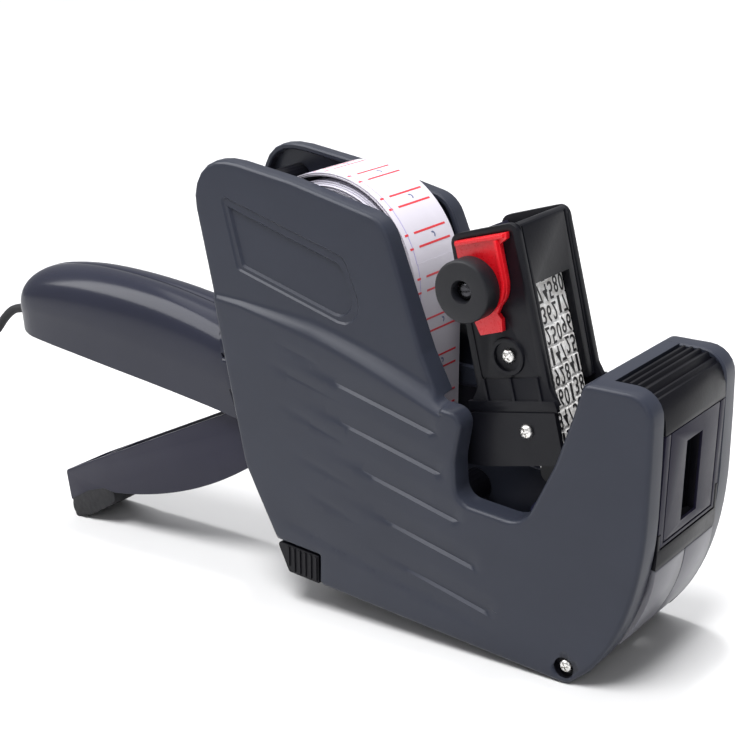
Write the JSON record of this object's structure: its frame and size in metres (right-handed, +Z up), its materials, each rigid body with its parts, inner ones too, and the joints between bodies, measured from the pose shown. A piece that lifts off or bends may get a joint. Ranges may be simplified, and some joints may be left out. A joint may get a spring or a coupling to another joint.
{
  "type": "price labeling gun",
  "caption": "Hand-held price labeling gun: grip and squeeze trigger, open label roll, tilting print head with number bands and pull-out selector knob, nose window, wrist strap.",
  "frame": {"origin": "middle of the tool's box on the floor it stands on, without the strap", "axes": "+X forward to the nose, +Y to the tool's left, +Z up; the tool stands on its nose and its trigger"},
  "size_m": [0.3426, 0.0663, 0.131],
  "materials": {
    "casing_grey": "fine matte texture, dark slate grey",
    "grip_grey": "smooth gloss, dark slate grey",
    "black_plastic": "satin black",
    "knob_plastic": "matte, near black",
    "red_plastic": "smooth signal red",
    "panel_satin": "satin grey panel",
    "band_rubber": "cream-white with raised black digits",
    "label_paper": "uncoated paper, faint red lines",
    "core_card": "brown card",
    "steel": "bright steel",
    "ink_felt": "dark inked felt",
    "roller_rubber": "black rubber, textured",
    "strap_braid": "black braided cord"
  },
  "bodies": {
    "casing": {"right_side_cover": "casing_grey", "left_side_cover": "casing_grey", "right_frame_half": "grip_grey", "left_frame_half": "grip_grey", "front_cover": "black_plastic", "window_panel": "panel_satin", "tie_bar": "black_plastic", "reel_axle": "steel", "lever_pivot_pin": "steel", "arm_pivot_pin": "steel", "return_spring": "steel", "guide_axle": "steel", "platen": "black_plastic", "peel_bar": "steel", "applicator_axle": "steel", "applicator_screw": "steel", "upper_case_screw": "steel", "ink_pivot_pin": "steel", "label_tape": "label_paper", "strap_cord": "strap_braid", "strap_coil": "strap_braid", "strap_knot": "strap_braid"},
    "trigger": {"trigger_lever": "grip_grey", "link_pin": "steel"},
    "print_head": {"print_arm": "black_plastic", "head_right_plate": "black_plastic", "head_left_plate": "black_plastic", "head_front": "black_plastic", "head_rear": "black_plastic", "band_shaft": "black_plastic", "band_foot": "black_plastic", "shaft_retainer": "red_plastic", "head_screw": "steel", "arm_screw": "steel", "number_band_1": "band_rubber", "number_band_2": "band_rubber", "number_band_3": "band_rubber", "number_band_4": "band_rubber", "number_band_5": "band_rubber", "number_band_6": "band_rubber", "band_wheel_1": "black_plastic", "band_wheel_2": "black_plastic", "band_wheel_3": "black_plastic", "band_wheel_4": "black_plastic", "band_wheel_5": "black_plastic", "band_wheel_6": "black_plastic"},
    "selector_carriage": {"shaft_collar": "black_plastic"},
    "selector": {"selector_knob": "knob_plastic", "selector_shaft": "steel"},
    "bottom_door": {"bottom_cover": "black_plastic", "bottom_catch": "black_plastic"},
    "label_reel": {"label_roll": "label_paper", "label_core": "core_card", "right_reel_hub": "black_plastic", "left_reel_hub": "black_plastic"},
    "feed_drum": {"feed_wheel": "black_plastic"},
    "guide": {"guide_roller": "black_plastic"},
    "applicator": {"applicator_roller": "roller_rubber"},
    "ink_carrier": {"ink_holder": "black_plastic"},
    "inker": {"ink_roller": "ink_felt"}
  },
  "joints": [
    {"name": "trigger_squeeze", "type": "hinge", "parent": "casing", "child": "trigger", "pos_m": [0.0078, 0, 0.05025], "axis": [0, 1, 0], "range_deg": [0, 22], "stiffness_Nm_per_rad": 1.5, "springref_deg": -17.19},
    {"name": "head_press", "type": "hinge", "parent": "casing", "child": "print_head", "pos_m": [-0.00325, 0, 0.05952], "axis": [0, 1, 0], "range_deg": [0, 13.2]},
    {"name": "selector_pull", "type": "slide", "parent": "print_head", "child": "selector_carriage", "axis": [0, -1, 0], "range_m": [0, 0.013]},
    {"name": "selector_turn", "type": "hinge", "parent": "selector_carriage", "child": "selector", "pos_m": [0.0729, 0, 0.1014], "axis": [0, -1, 0], "continuous": true},
    {"name": "door_open", "type": "hinge", "parent": "casing", "child": "bottom_door", "pos_m": [0.09021, 0, 0.00408], "axis": [0, -1, 0], "range_deg": [0, 70]},
    {"name": "reel_turn", "type": "hinge", "parent": "casing", "child": "label_reel", "pos_m": [0.02124, 0, 0.09886], "axis": [0, 1, 0], "continuous": true},
    {"name": "feed_turn", "type": "hinge", "parent": "casing", "child": "feed_drum", "pos_m": [0.06241, 0, 0.01652], "axis": [0, 1, 0], "continuous": true},
    {"name": "guide_turn", "type": "hinge", "parent": "casing", "child": "guide", "pos_m": [0.05027, 0, 0.03407], "axis": [0, 1, 0], "continuous": true},
    {"name": "applicator_turn", "type": "hinge", "parent": "casing", "child": "applicator", "pos_m": [0.09895, 0, 0.00482], "axis": [0, 1, 0], "continuous": true},
    {"name": "ink_swing", "type": "hinge", "parent": "casing", "child": "ink_carrier", "pos_m": [0.10498, 0, 0.05556], "axis": [0, -1, 0], "range_deg": [0, 60]},
    {"name": "ink_turn", "type": "hinge", "parent": "ink_carrier", "child": "inker", "pos_m": [0.08604, 0, 0.03905], "axis": [0, 1, 0], "continuous": true}
  ],
  "couplings": [
    {"joint": "head_press", "follows": "trigger_squeeze", "ratio": 0.6},
    {"joint": "ink_swing", "follows": "trigger_squeeze", "ratio": 2.7272}
  ]
}
